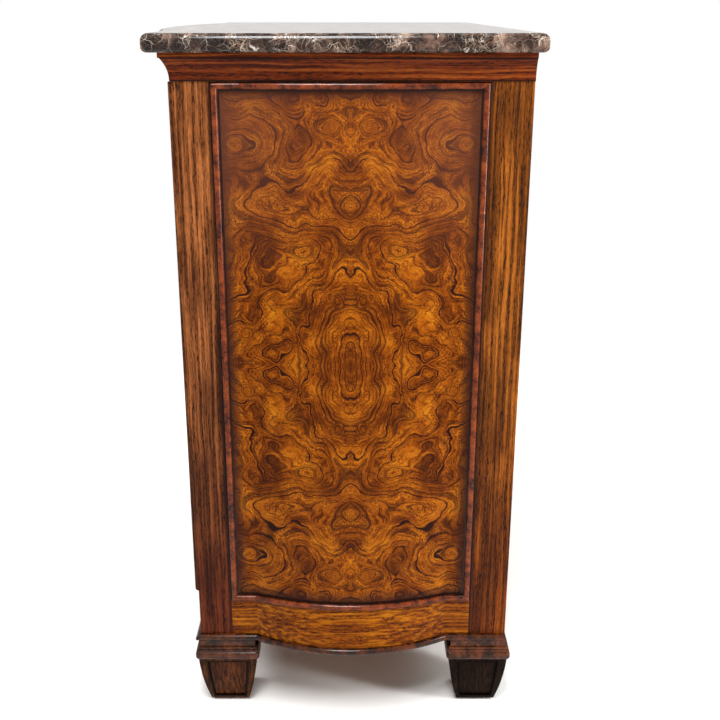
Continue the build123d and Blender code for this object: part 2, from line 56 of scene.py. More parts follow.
class Node(Enum):
    """The nodes used here: type, and the one property that makes the variety."""

    ADD = ("ShaderNodeMath", "operation", "ADD")
    SUBTRACT = ("ShaderNodeMath", "operation", "SUBTRACT")
    MULTIPLY = ("ShaderNodeMath", "operation", "MULTIPLY")
    SCALE_ADD = ("ShaderNodeMath", "operation", "MULTIPLY_ADD")
    ABSOLUTE = ("ShaderNodeMath", "operation", "ABSOLUTE")
    FOLD = ("ShaderNodeMath", "operation", "PINGPONG")
    LOWEST = ("ShaderNodeMath", "operation", "MINIMUM")
    HIGHEST = ("ShaderNodeMath", "operation", "MAXIMUM")
    POINT_ADD = ("ShaderNodeVectorMath", "operation", "ADD")
    POINT_SUBTRACT = ("ShaderNodeVectorMath", "operation", "SUBTRACT")
    POINT_MULTIPLY = ("ShaderNodeVectorMath", "operation", "MULTIPLY")
    POINT_SCALE_ADD = ("ShaderNodeVectorMath", "operation", "MULTIPLY_ADD")
    LENGTH = ("ShaderNodeVectorMath", "operation", "LENGTH")
    RANGE = ("ShaderNodeMapRange", "interpolation_type", "SMOOTHSTEP")
    RAMP = ("ShaderNodeValToRGB", "label", "")
    BLEND = ("ShaderNodeMix", "data_type", "RGBA")
    SPLIT = ("ShaderNodeSeparateXYZ", "label", "")
    JOIN = ("ShaderNodeCombineXYZ", "label", "")
    NOISE = ("ShaderNodeTexNoise", "noise_dimensions", "3D")
    LINE_NOISE = ("ShaderNodeTexNoise", "noise_dimensions", "1D")
    CELL_EDGES = ("ShaderNodeTexVoronoi", "feature", "DISTANCE_TO_EDGE")
    PLACE = ("ShaderNodeTexCoord", "label", "")
    BUMP = ("ShaderNodeBump", "label", "")
    SURFACE = ("ShaderNodeBsdfPrincipled", "distribution", "MULTI_GGX")
    RAYS = ("ShaderNodeLightPath", "label", "")
    GLOW = ("ShaderNodeEmission", "label", "")
    SKY = ("ShaderNodeBackground", "label", "")
    EITHER = ("ShaderNodeMixShader", "label", "")
    RECTANGLE = ("GeometryNodeCurvePrimitiveQuadrilateral", "mode", "RECTANGLE")
    SPACED = ("GeometryNodeResampleCurve", "label", "")
    MOVED = ("GeometryNodeTransform", "label", "")
    RANDOM_TURN = ("FunctionNodeRandomValue", "data_type", "FLOAT_VECTOR")
    COPIES = ("GeometryNodeInstanceOnPoints", "label", "")
    REAL = ("GeometryNodeRealizeInstances", "label", "")
    COATED = ("GeometryNodeSetMaterial", "label", "")


class Axis(Enum):
    """An axis of the frame, by its place in a point."""

    X = 0
    Y = 1
    Z = 2


@dataclass(frozen=True)
class Extent:
    """The box of a CAD node at rest, in mm."""

    low: Vector
    high: Vector

    @classmethod
    def of(cls, node: str) -> "Extent":
        """Measure a node of the frame."""
        low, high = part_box(node)
        return cls(low * MM_PER_M, high * MM_PER_M)

    def middle(self, axis: Axis) -> float:
        """Give the middle of the box along an axis."""
        return (self.low[axis.value] + self.high[axis.value]) / 2

    def half(self, axis: Axis) -> float:
        """Give half the length of the box along an axis."""
        return (self.high[axis.value] - self.low[axis.value]) / 2


def linear(code: str) -> tuple[float, float, float, float]:
    """Turn an sRGB hex code into a linear colour.

    Args:
        code: Six hex digits after a hash.

    Returns:
        Linear red, green and blue, and full alpha.
    """
    parts = [int(code[i : i + 2], 16) / 255 for i in (1, 3, 5)]
    return (*[c / 12.92 if c <= 0.04045 else ((c + 0.055) / 1.055) ** 2.4 for c in parts], 1.0)


class Graph:
    """A node tree that is filled node by node."""

    def __init__(self, tree: bpy.types.NodeTree) -> None:
        """Empty a node tree and hold it."""
        tree.nodes.clear()
        self.tree = tree

    def add(self, node: Node, *values: object, out: int | str = 0, stops: Sequence = (),
            **sockets: object) -> Socket:
        """Add one node with its settings and links.

        Args:
            node: Which node.
            *values: What goes to its first inputs, in order: a value, another node's output,
                or None to leave the input alone.
            out: Index or name of the output wanted.
            stops: A ramp's places and hex colours.
            **sockets: What goes to inputs by name, with _ for a space, or to properties.

        Returns:
            The wanted output.
        """
        kind, option, choice = node.value
        made = self.tree.nodes.new(kind)
        setattr(made, option, choice)
        for index, (place, code) in enumerate(stops):
            elements = made.color_ramp.elements
            stop = elements[index] if index < len(elements) else elements.new(place)
            stop.position, stop.color = place, linear(code)
        named = {key.replace("_", " "): value for key, value in sockets.items()}
        known = {socket.name.lower(): socket for socket in reversed(made.inputs) if socket.enabled}
        for key, value in [*zip(made.inputs, values), *named.items()]:
            socket = known.get(key) if isinstance(key, str) else key
            if socket is None:
                setattr(made, key.replace(" ", "_"), value)
            elif isinstance(value, Socket):
                self.tree.links.new(value, socket)
            elif value is not None:
                socket.default_value = linear(value) if isinstance(value, str) else value
        return made.outputs[out]

    def here(self) -> Socket:
        """Give the point being shaded, in mm of the object's own space."""
        return self.add(Node.POINT_MULTIPLY, self.add(Node.PLACE, out="Object"), (MM_PER_M,) * 3)

    def off(self, point: Socket, axis: Axis, middle: float) -> Socket:
        """Measure how far a point is from a middle.

        Args:
            point: The point.
            axis: Along which axis.
            middle: The middle there.

        Returns:
            The distance, never negative.
        """
        along = self.add(Node.SPLIT, point, out=axis.value)
        return self.add(Node.ABSOLUTE, self.add(Node.SUBTRACT, along, middle))

    def finish(self, surface: Socket, kind: str = "ShaderNodeOutputMaterial") -> None:
        """Send a shader to the tree's output."""
        self.tree.links.new(surface, self.tree.nodes.new(kind).inputs["Surface"])


def new_material(name: str) -> tuple[bpy.types.Material, Graph]:
    """Make an empty node material.

    Args:
        name: What the finish is called.

    Returns:
        The material and its graph.
    """
    material = bpy.data.materials.new(name)
    material.use_nodes = True
    return material, Graph(material.node_tree)


@dataclass(frozen=True)
class Threads:
    """One net of calcite threads: its cells in mm, and where in the drifts it shows."""

    cell: float
    width: float
    faint: float
    full: float
    strength: float
    trace: float = 0.06


@dataclass(frozen=True)
class EmperadorMarble:
    """Polished dark limestone: brown clouds, fine calcite threads in drifts, a few white patches."""

    name: str = "emperador_marble_polished"
    clouds: float = 30.0
    sway: float = 18.0
    sway_reach: float = 20.0
    drifts: float = 26.0
    tints: float = 9.0
    snow: float = 17.0
    threads: tuple[Threads, ...] = (
        Threads(19.0, 0.028, 0.3, 0.62, 0.75),
        Threads(7.0, 0.045, 0.44, 0.62, 0.65),
        Threads(3.6, 0.06, 0.48, 0.64, 0.5))
    ground: tuple[tuple[float, str], ...] = (
        (0.3, "#060302"), (0.44, "#140b08"), (0.53, "#2b1c16"), (0.61, "#594439"), (0.74, "#937e6e"))
    calcite: tuple[tuple[float, str], ...] = ((0.35, "#7d6150"), (0.5, "#ab937f"), (0.68, "#d8cabd"))
    white: str = "#cbc4be"
    roughness: float = 0.14
    shine: float = 0.22

    def build(self) -> bpy.types.Material:
        """Make the material."""
        material, g = new_material(self.name)
        here = g.here()
        sway = g.add(Node.NOISE, here, scale=1 / self.sway, detail=3.0, out="Color")
        bent = g.add(Node.POINT_SCALE_ADD, sway, (self.sway_reach,) * 3, here)
        clouds = g.add(Node.NOISE, bent, scale=1 / self.clouds, detail=5.0, roughness=0.62)
        colour = g.add(Node.RAMP, clouds, stops=self.ground)
        drift = g.add(Node.NOISE, here, scale=1 / self.drifts, detail=2.0)
        tint = g.add(Node.RAMP, g.add(Node.NOISE, here, scale=1 / self.tints), stops=self.calcite)
        for net in self.threads:
            edge = g.add(Node.CELL_EDGES, bent, scale=1 / net.cell, randomness=1.0)
            shown = g.add(Node.MULTIPLY, g.add(Node.RANGE, edge, 0.0, net.width, 1.0, 0.0),
                          g.add(Node.RANGE, drift, net.faint, net.full, net.trace, net.strength))
            colour = g.add(Node.BLEND, shown, out=2, a=colour, b=tint)
        snow = g.add(Node.NOISE, bent, scale=1 / self.snow, detail=5.0, roughness=0.65)
        patch = g.add(Node.RANGE, snow, 0.66, 0.74, 0.0, 0.85)
        colour = g.add(Node.BLEND, patch, out=2, a=colour, b=self.white)
        g.finish(g.add(Node.SURFACE, colour, roughness=self.roughness, ior=GLOSS_IOR,
                       specular_ior_level=self.shine))
        return material


@dataclass(frozen=True)
class Swell:
    """An oval rise or hollow in a leaf's height field, in mm, whose contours make an eye."""

    u: float
    v: float
    wide: float
    high: float
    rise: float


@dataclass(frozen=True)
class Contours:
    """Dark lines that follow the height field, broken where a slow noise is low."""

    pitch: float
    width: float
    broken: float
    strength: float
    wobble: float = 3.0


@dataclass(frozen=True)
class BurrVeneer:
    """Book-matched burr in mirrored quarters under varnish: contour lines, eyes and flecks, with painted
    shade beside the beads and, on upright panels, a painted reflection towards the upper corners.

    Sizes are in mm. Drift, sway and shiver pair a pattern's size with how far it moves a point;
    fibre and dash pair a streak's length over the leaf with its scale over the height field.
    """

    name: str
    box: Extent
    across: Axis = Axis.Y
    leaf: float = 400.0
    shift: float = 0.0
    play: float = 0.0
    upright: bool = True
    broad_swells: float = 95.0
    broad_rise: float = 2.2
    drift: tuple[float, float] = (60.0, 5.0)
    sway: tuple[float, float] = (30.0, 16.0)
    shiver: tuple[float, float] = (6.0, 1.7)
    fibre: tuple[float, float] = (20.0, 44.0)
    dash: tuple[float, float] = (2.9, 90.0)
    clouds: float = 48.0
    fleck_drifts: float = 36.0
    specks: float = 2.3
    breaks: float = 20.0
    eyes: tuple[Swell, ...] = (
        Swell(26, 320, 15, 15, 0.5), Swell(37, 322, 32, 29, 0.3), Swell(57, 345, 9, 9, 0.3),
        Swell(74, 300, 22, 20, -0.45), Swell(20, 96, 11, 13, 0.45), Swell(31, 98, 10, 12, -0.35),
        Swell(69, 41, 14, 30, 0.4), Swell(144, 47, 15, 15, 0.5), Swell(0, 215, 30, 26, 0.5),
        Swell(63, 162, 28, 22, -0.4), Swell(0, 20, 95, 135, 1.9), Swell(0, 225, 190, 70, 0.9),
        Swell(165, 300, 110, 60, 0.7), Swell(108, 72, 26, 22, -0.3), Swell(130, 15, 40, 26, -0.25),
        Swell(150, 358, 60, 40, -0.35))
    lines: tuple[Contours, ...] = (Contours(13.0, 0.3, 0.32, 0.66), Contours(4.6, 0.14, 0.22, 1.0))
    ground: tuple[tuple[float, str], ...] = (
        (0.34, "#331203"), (0.43, "#552303"), (0.5, "#733504"), (0.57, "#8f4a07"), (0.68, "#ad6812"))
    fleck: str = "#3c1706"
    glint: str = "#c27a1c"
    line: str = "#200a05"
    # painted shade beside the beads
    bead_shade: str = "#2c1410"
    # painted reflection towards the upper corners
    painted_reflection: str = "#5c3526"
    bead: float = 11.0
    bead_shade_reach: float = 30.0
    reflection_rise: tuple[float, float] = (40.0, 350.0)
    reflection_side: tuple[float, float] = (20.0, 150.0)
    roughness: tuple[float, float] = (0.24, 0.34)
    shine: float = 0.05

    def field(self, g: Graph, point: Socket) -> Socket:
        """Add up the broad swells and the eyes whose contours are the figure.

        Args:
            g: The tree.
            point: A point of the leaf in mm.

        Returns:
            Height of the field.
        """
        height = g.add(Node.NOISE, point, scale=1 / self.broad_swells, detail=2.0, roughness=0.45)
        height = g.add(Node.MULTIPLY, height, self.broad_rise)
        for eye in self.eyes:
            away = g.add(Node.POINT_SUBTRACT, point, (eye.u, eye.v, 0.0))
            away = g.add(Node.POINT_MULTIPLY, away, (1 / eye.wide, 1 / eye.high, 0))
            swell = g.add(Node.RANGE, g.add(Node.LENGTH, away, out="Value"), 0.0, 1.0, eye.rise, 0.0)
            height = g.add(Node.ADD, height, swell)
        return height

    def streaks(self, g: Graph, point: Socket, height: Socket, size: tuple[float, float]) -> Socket:
        """Make noise that runs along the contours.

        Args:
            g: The tree.
            point: A point of the leaf in mm.
            height: The field there.
            size: Their length over the leaf, in mm, and their scale over the field.

        Returns:
            The noise.
        """
        long, fast = size
        slow = g.add(Node.POINT_MULTIPLY, point, (1 / long, 1 / long, 0.0))
        steep = g.add(Node.JOIN, 0.0, 0.0, g.add(Node.MULTIPLY, height, fast))
        return g.add(Node.NOISE, g.add(Node.POINT_ADD, slow, steep), scale=1.0, detail=2.0)

    def quarter(self, g: Graph, here: Socket) -> Socket:
        """Fold a point of the panel onto one leaf, a little differently in each quarter.

        Args:
            g: The tree.
            here: The point in mm.

        Returns:
            The point of the leaf, in mm from the panel's centre.
        """
        u = g.add(Node.FOLD, g.off(here, self.across, self.box.middle(self.across)), self.leaf)
        v = g.add(Node.ADD, g.off(here, Axis.Z, self.box.middle(Axis.Z)), self.shift)
        size, reach = self.drift
        drift = g.add(Node.NOISE, here, scale=1 / size, detail=1.0, out="Color")
        return g.add(Node.POINT_SCALE_ADD, drift, (reach, reach, 0.0), g.add(Node.JOIN, u, v, 0.0))

    def bend(self, g: Graph, leaf: Socket) -> Socket:
        """Sway and shiver a point of the leaf, so that no contour stays smooth.

        Args:
            g: The tree.
            leaf: The point in mm.

        Returns:
            The bent point.
        """
        size, reach = self.sway
        sway = g.add(Node.NOISE, leaf, scale=1 / size, detail=3.0, out="Color")
        bent = g.add(Node.POINT_SCALE_ADD, sway, (reach, reach, 0.0), leaf)
        bent = g.add(Node.POINT_SUBTRACT, bent, (reach / 2, reach / 2, 0.0))
        size, reach = self.shiver
        shiver = g.add(Node.NOISE, leaf, scale=1 / size, detail=2.0, out="Color")
        return g.add(Node.POINT_SCALE_ADD, shiver, (reach, reach, 0.0), bent)

    def draw_lines(self, g: Graph, leaf: Socket, height: Socket, colour: Socket) -> Socket:
        """Draw the contour lines over the ground.

        Args:
            g: The tree.
            leaf: The point of the leaf in mm.
            height: The field there.
            colour: The ground.

        Returns:
            The colour with the lines.
        """
        patchy = g.add(Node.NOISE, leaf, scale=1 / self.breaks, detail=1.0)
        for line in self.lines:
            place = g.add(Node.MULTIPLY, height, line.pitch * 0.6)
            wobble = g.add(Node.LINE_NOISE, None, place, scale=1.0, detail=0.0)
            wobble = g.add(Node.MULTIPLY, wobble, line.wobble)
            near = g.add(Node.FOLD, g.add(Node.SCALE_ADD, height, line.pitch, wobble), 1.0)
            drawn = g.add(Node.MULTIPLY,
                          g.add(Node.RANGE, near, line.width * 0.4, line.width, 1.0, 0.0),
                          g.add(Node.RANGE, patchy, line.broken, line.broken + 0.16, 0.05, line.strength))
            colour = g.add(Node.BLEND, drawn, out=2, a=colour, b=self.line)
        return colour

    def paint_bead_shade(self, g: Graph, here: Socket, colour: Socket) -> Socket:
        """Paint the shade that falls beside the beads, as darker colour near them.

        Args:
            g: The tree.
            here: The point in mm.
            colour: The wood.

        Returns:
            The colour with its painted shade.
        """
        bands = []
        for axis, half, depth in ((self.across, self.box.half(self.across), 0.85),
                                  (Axis.Z, self.box.half(Axis.Z) + self.play, 0.8)):
            bands.append(g.add(Node.RANGE, g.off(here, axis, self.box.middle(axis)),
                               half - self.bead_shade_reach, half - self.bead, 0.0, depth))
        return g.add(Node.BLEND, g.add(Node.HIGHEST, *bands), out=2, a=colour, b=self.bead_shade)

    def paint_reflection(self, g: Graph, here: Socket, colour: Socket) -> Socket:
        """Paint the pinkish reflection of the room that grows towards the upper corners.

        Args:
            g: The tree.
            here: The point in mm.
            colour: The wood.

        Returns:
            The colour under its painted reflection.
        """
        rise = g.add(Node.SUBTRACT, g.add(Node.SPLIT, here, out=Axis.Z.value), self.box.middle(Axis.Z))
        side = g.off(here, self.across, self.box.middle(self.across))
        painted_reflection = g.add(Node.MULTIPLY, g.add(Node.RANGE, rise, *self.reflection_rise, 0.0, 0.55),
                      g.add(Node.RANGE, side, *self.reflection_side, 0.35, 1.0))
        return g.add(Node.BLEND, painted_reflection, out=2, a=colour, b=self.painted_reflection)

    def build(self) -> bpy.types.Material:
        """Make the material."""
        material, g = new_material(self.name)
        here = g.here()
        leaf = self.quarter(g, here)
        bent = self.bend(g, leaf)
        height = self.field(g, bent)
        fibre = self.streaks(g, bent, height, self.fibre)
        dash = self.streaks(g, bent, height, self.dash)
        broad = g.add(Node.NOISE, leaf, scale=1 / self.clouds, detail=3.0, roughness=0.6)
        tone = g.add(Node.SCALE_ADD, fibre, 0.45, g.add(Node.MULTIPLY, broad, 0.55))
        colour = g.add(Node.RAMP, tone, stops=self.ground)
        flecked = g.add(Node.NOISE, leaf, scale=1 / self.fleck_drifts, detail=2.0)
        speck = g.add(Node.NOISE, bent, scale=1 / self.specks, detail=2.0, roughness=0.6)
        grainy = g.add(Node.SCALE_ADD, speck, 0.5, g.add(Node.MULTIPLY, dash, 0.5))
        fleck = g.add(Node.MULTIPLY, g.add(Node.RANGE, grainy, 0.5, 0.6, 0.0, 1.0),
                      g.add(Node.RANGE, flecked, 0.38, 0.6, 0.15, 0.85))
        colour = g.add(Node.BLEND, fleck, out=2, a=colour, b=self.fleck)
        glint = g.add(Node.MULTIPLY, g.add(Node.RANGE, grainy, 0.38, 0.48, 0.5, 0.0),
                      g.add(Node.RANGE, broad, 0.4, 0.62, 0.2, 1.0))
        colour = g.add(Node.BLEND, glint, out=2, a=colour, b=self.glint)
        colour = self.draw_lines(g, leaf, height, colour)
        # painted shade beside the beads
        colour = self.paint_bead_shade(g, here, colour)
        # painted reflection towards the upper corners, on upright panels only
        if self.upright:
            colour = self.paint_reflection(g, here, colour)
        rough = g.add(Node.RANGE, broad, 0.3, 0.7, *self.roughness)
        normal = g.add(Node.BUMP, height=g.add(Node.MULTIPLY, dash, 0.5), strength=0.08, distance=0.0005)
        g.finish(g.add(Node.SURFACE, colour, roughness=rough, ior=GLOSS_IOR,
                       specular_ior_level=self.shine, normal=normal))
        return material


@dataclass(frozen=True)
class Stain:
    """The colours of a stained wood, from its lightest ring to the wax in its pores."""

    light: str
    mid: str
    dark: str
    pore: str


@dataclass(frozen=True)
class SunkPanel:
    """The sunk panel on a foot's outer faces, wider at the top, in mm above the floor."""

    foot: Extent
    low: float = 9.0
    high: float = 78.0
    half_low: float = 24.0
    half_high: float = 30.0

    def edge(self, g: Graph, here: Socket) -> Socket:
        """Find the painted shade along the panel's edge, on whichever face the point is.

        Args:
            g: The tree.
            here: The point in mm.

        Returns:
            How much painted shade lies there.
        """
        out = g.off(here, Axis.X, 0.0)
        x = g.add(Node.ABSOLUTE, g.add(Node.SUBTRACT, out, self.foot.middle(Axis.X)))
        y = g.off(here, Axis.Y, self.foot.middle(Axis.Y))
        slope = (self.half_high - self.half_low) / (self.high - self.low)
        half = g.add(Node.SCALE_ADD, g.add(Node.SPLIT, here, out=Axis.Z.value), slope,
                     self.half_low - slope * self.low)
        beside = g.add(Node.SUBTRACT, g.add(Node.LOWEST, x, y), half)
        above = g.add(Node.SUBTRACT, g.off(here, Axis.Z, (self.low + self.high) / 2),
                      (self.high - self.low) / 2)
        away = g.add(Node.ABSOLUTE, g.add(Node.HIGHEST, beside, above))
        return g.add(Node.RANGE, away, 1.2, 2.8, 0.92, 0.0)


@dataclass(frozen=True)
class OpenGrainAsh:
    """Stained, wiped and varnished ash: long dark open pores between soft growth rings.

    Sizes are in mm; sway and blotches are wide across the grain and long along it.
    """

    name: str
    along: Axis
    stain: Stain
    roughness: float = 0.3
    shine: float = 0.07
    pore_wide: float = 1.2
    pore_long: float = 10.0
    pore_depth: float = 0.9
    ring: float = 3.6
    ring_long: float = 260.0
    sway: tuple[float, float] = (30.0, 160.0)
    sway_reach: float = 9.0
    blotches: tuple[float, float] = (36.0, 90.0)
    mottle: float = 0.6
    # Colours of painted shade: towards the floor, beside a panel, in quirks and along a sunk panel's edge.
    low_shade: str = ""
    low_start: float = 560.0
    low_end: float = 170.0
    beside: Extent | None = None
    seam_shade: str = "#1e0c06"
    quirks: tuple[tuple[float, float], ...] = ()
    quirk_shade: str = "#160804"
    sunk: SunkPanel | None = None
    sunk_shade: str = "#080301"

    def stretch(self, g: Graph, point: Socket, wide: float, long: float) -> Socket:
        """Squeeze a point along the grain, so that a pattern laid on it is drawn out.

        Args:
            g: The tree.
            point: The point in mm.
            wide: The pattern's size across the grain.
            long: Its size along the grain.

        Returns:
            The point to lay the pattern on.
        """
        return g.add(Node.POINT_MULTIPLY, point,
                     tuple(1 / long if axis is self.along else 1 / wide for axis in Axis))

    def wax_and_shade(self, g: Graph, here: Socket, colour: Socket) -> Socket:
        """Paint shade on the wood: towards its foot, beside its seam, in its quirks and along the edge of
        its sunk panel.

        Args:
            g: The tree.
            here: The point in mm.
            colour: The bare wood.

        Returns:
            The colour with its painted shade.
        """
        # painted shade, darker towards the floor
        if self.low_shade:
            height = g.add(Node.SPLIT, here, out=Axis.Z.value)
            lowness = g.add(Node.RANGE, height, self.low_end, self.low_start, 0.85, 0.0)
            colour = g.add(Node.BLEND, lowness, out=2, a=colour, b=self.low_shade, blend_type="MULTIPLY")
        # painted shade in the groove beside the panel
        if self.beside:
            reach = g.off(here, Axis.Y, self.beside.middle(Axis.Y))
            reach = g.add(Node.SUBTRACT, reach, self.beside.half(Axis.Y))
            shade = g.add(Node.RANGE, reach, 0.5, 6.0, 0.8, 0.0)
            colour = g.add(Node.BLEND, shade, out=2, a=colour, b=self.seam_shade)
        # painted shade in the quirks
        for level, wide in self.quirks:
            into = g.add(Node.RANGE, g.off(here, Axis.Z, level), wide * 0.4, wide, 0.92, 0.0)
            colour = g.add(Node.BLEND, into, out=2, a=colour, b=self.quirk_shade)
        # painted shade along the sunk panel's edge
        if self.sunk:
            colour = g.add(Node.BLEND, self.sunk.edge(g, here), out=2, a=colour, b=self.sunk_shade)
        return colour

    def build(self) -> bpy.types.Material:
        """Make the material."""
        material, g = new_material(self.name)
        here = g.here()
        sway = g.add(Node.NOISE, self.stretch(g, here, *self.sway), scale=1.0, out="Color")
        bent = g.add(Node.POINT_SCALE_ADD, sway, (self.sway_reach,) * 3, here)
        rings = g.add(Node.NOISE, self.stretch(g, bent, self.ring, self.ring_long), scale=1.0, detail=2.0)
        pores = g.add(Node.NOISE, self.stretch(g, bent, self.pore_wide, self.pore_long),
                      scale=1.0, detail=2.0, roughness=0.7)
        blotch = g.add(Node.NOISE, self.stretch(g, here, *self.blotches), scale=1.0, detail=3.0)
        tone = g.add(Node.SCALE_ADD, g.add(Node.SUBTRACT, blotch, 0.5), self.mottle, rings)
        colour = g.add(Node.RAMP, tone, stops=(
            (0.28, self.stain.dark), (0.5, self.stain.mid), (0.72, self.stain.light)))
        open_pore = g.add(Node.MULTIPLY, g.add(Node.RANGE, pores, 0.49, 0.57, 0.0, self.pore_depth),
                          g.add(Node.RANGE, rings, 0.42, 0.6, 1.0, 0.4))
        colour = g.add(Node.BLEND, open_pore, out=2, a=colour, b=self.stain.pore)
        # painted shade over the wood
        colour = self.wax_and_shade(g, here, colour)
        rough = g.add(Node.SCALE_ADD, open_pore, 0.2, self.roughness)
        normal = g.add(Node.BUMP, height=open_pore, strength=0.35, distance=0.0006, invert=True)
        g.finish(g.add(Node.SURFACE, colour, roughness=rough, ior=GLOSS_IOR,
                       specular_ior_level=self.shine, normal=normal))
        return material


@dataclass(frozen=True)
class RubbedBead:
    """Red-brown stained beech bead, rubbed back: worn on its crown, painted shade in its quirks."""

    name: str
    crown: str = "#7c3813"
    body: str = "#54200a"
    wax_and_shade: str = "#1d0b06"
    # painted shade in the quirks
    quirk_shade: str = "#120705"
    roughness: float = 0.11
    shine: float = 0.2
    box: Extent | None = None
    across: Axis = Axis.Y
    width: float = 11.0
    worn_patches: float = 16.0
    scuffs: float = 2.6

    def quirk(self, g: Graph, here: Socket) -> Socket:
        """Find how far a point of a frame of beads is into its quirks.

        Args:
            g: The tree.
            here: The point in mm.

        Returns:
            1 in the quirks, 0 on the round.
        """
        into = g.add(Node.HIGHEST, *[
            g.add(Node.SUBTRACT, g.off(here, axis, self.box.middle(axis)), self.box.half(axis) - self.width)
            for axis in (self.across, Axis.Z)])
        inner = g.add(Node.RANGE, into, 1.4, 3.0, 1.0, 0.0)
        outer = g.add(Node.RANGE, into, self.width - 1.8, self.width - 0.6, 0.0, 1.0)
        return g.add(Node.HIGHEST, inner, outer)

    def build(self) -> bpy.types.Material:
        """Make the material."""
        material, g = new_material(self.name)
        here = g.here()
        wear = g.add(Node.NOISE, here, scale=1 / self.worn_patches, detail=4.0, roughness=0.65)
        fine = g.add(Node.NOISE, here, scale=1 / self.scuffs, detail=2.0)
        tone = g.add(Node.SCALE_ADD, fine, 0.25, g.add(Node.MULTIPLY, wear, 0.75))
        colour = g.add(Node.RAMP, tone, stops=((0.36, self.wax_and_shade), (0.47, self.body), (0.62, self.crown)))
        if self.box:
            # painted shade in the quirks
            colour = g.add(Node.BLEND, self.quirk(g, here), out=2, a=colour, b=self.quirk_shade)
        rough = g.add(Node.RANGE, wear, 0.35, 0.65, self.roughness + 0.12, self.roughness)
        g.finish(g.add(Node.SURFACE, colour, roughness=rough, ior=GLOSS_IOR,
                       specular_ior_level=self.shine))
        return material


@dataclass(frozen=True)
class AgedBrass:
    """Cast brass left to tone down: warm yellow on the crowns, brown in the hollows."""

    name: str = "brass_aged"
    tones: tuple[tuple[float, str], ...] = ((0.35, "#7c5a28"), (0.5, "#b08a45"), (0.66, "#d9b870"))
    clouds: float = 7.0
    roughness: float = 0.28

    def build(self) -> bpy.types.Material:
        """Make the material."""
        material, g = new_material(self.name)
        cloud = g.add(Node.NOISE, g.here(), scale=1 / self.clouds, detail=4.0, roughness=0.6)
        colour = g.add(Node.RAMP, cloud, stops=self.tones)
        rough = g.add(Node.RANGE, cloud, 0.35, 0.65, self.roughness + 0.16, self.roughness)
        g.finish(g.add(Node.SURFACE, colour, metallic=1.0, roughness=rough))
        return material


def dress(names: Sequence[str], material: bpy.types.Material) -> None:
    """Give CAD nodes a finish.

    Args:
        names: The nodes.
        material: The finish.
    """
    for name in names:
        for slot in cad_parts[name].material_slots:
            slot.material = material
        log.info("dressed %s in %s", name, material.name)


class Grower(Graph):
    """A Geometry Nodes tree with named inputs, which grows one piece out of another."""

    def __init__(self, name: str) -> None:
        """Start a tree that takes and gives a mesh."""
        super().__init__(bpy.data.node_groups.new(name, "GeometryNodeTree"))
        self.tree.interface.new_socket("Piece", in_out="INPUT", socket_type="NodeSocketGeometry")
        self.tree.interface.new_socket("Result", in_out="OUTPUT", socket_type="NodeSocketGeometry")
        self.source = self.tree.nodes.new("NodeGroupInput")
        self.values: dict[str, object] = {}

    def take(self, name: str, kind: str, value: object) -> Socket:
        """Add a named input and keep the value it is to have.

        Args:
            name: What the input is called.
            kind: Its socket type.
            value: Its value.

        Returns:
            The input, inside the tree.
        """
        made = self.tree.interface.new_socket(name, in_out="INPUT", socket_type=kind)
        self.values[made.identifier] = value
        return self.source.outputs[name]

    def grow(self, piece: bpy.types.Object, result: Socket) -> None:
        """Run the tree on a piece and leave it what the tree makes, as a plain mesh.

        Args:
            piece: The piece.
            result: What the tree gives.
        """
        self.tree.links.new(result, self.tree.nodes.new("NodeGroupOutput").inputs["Result"])
        modifier = piece.modifiers.new(self.tree.name, "NODES")
        modifier.node_group = self.tree
        for identifier, value in self.values.items():
            modifier[identifier] = value
        done = piece.evaluated_get(bpy.context.evaluated_depsgraph_get())
        mesh = bpy.data.meshes.new_from_object(done)
        piece.modifiers.clear()
        piece.data = mesh


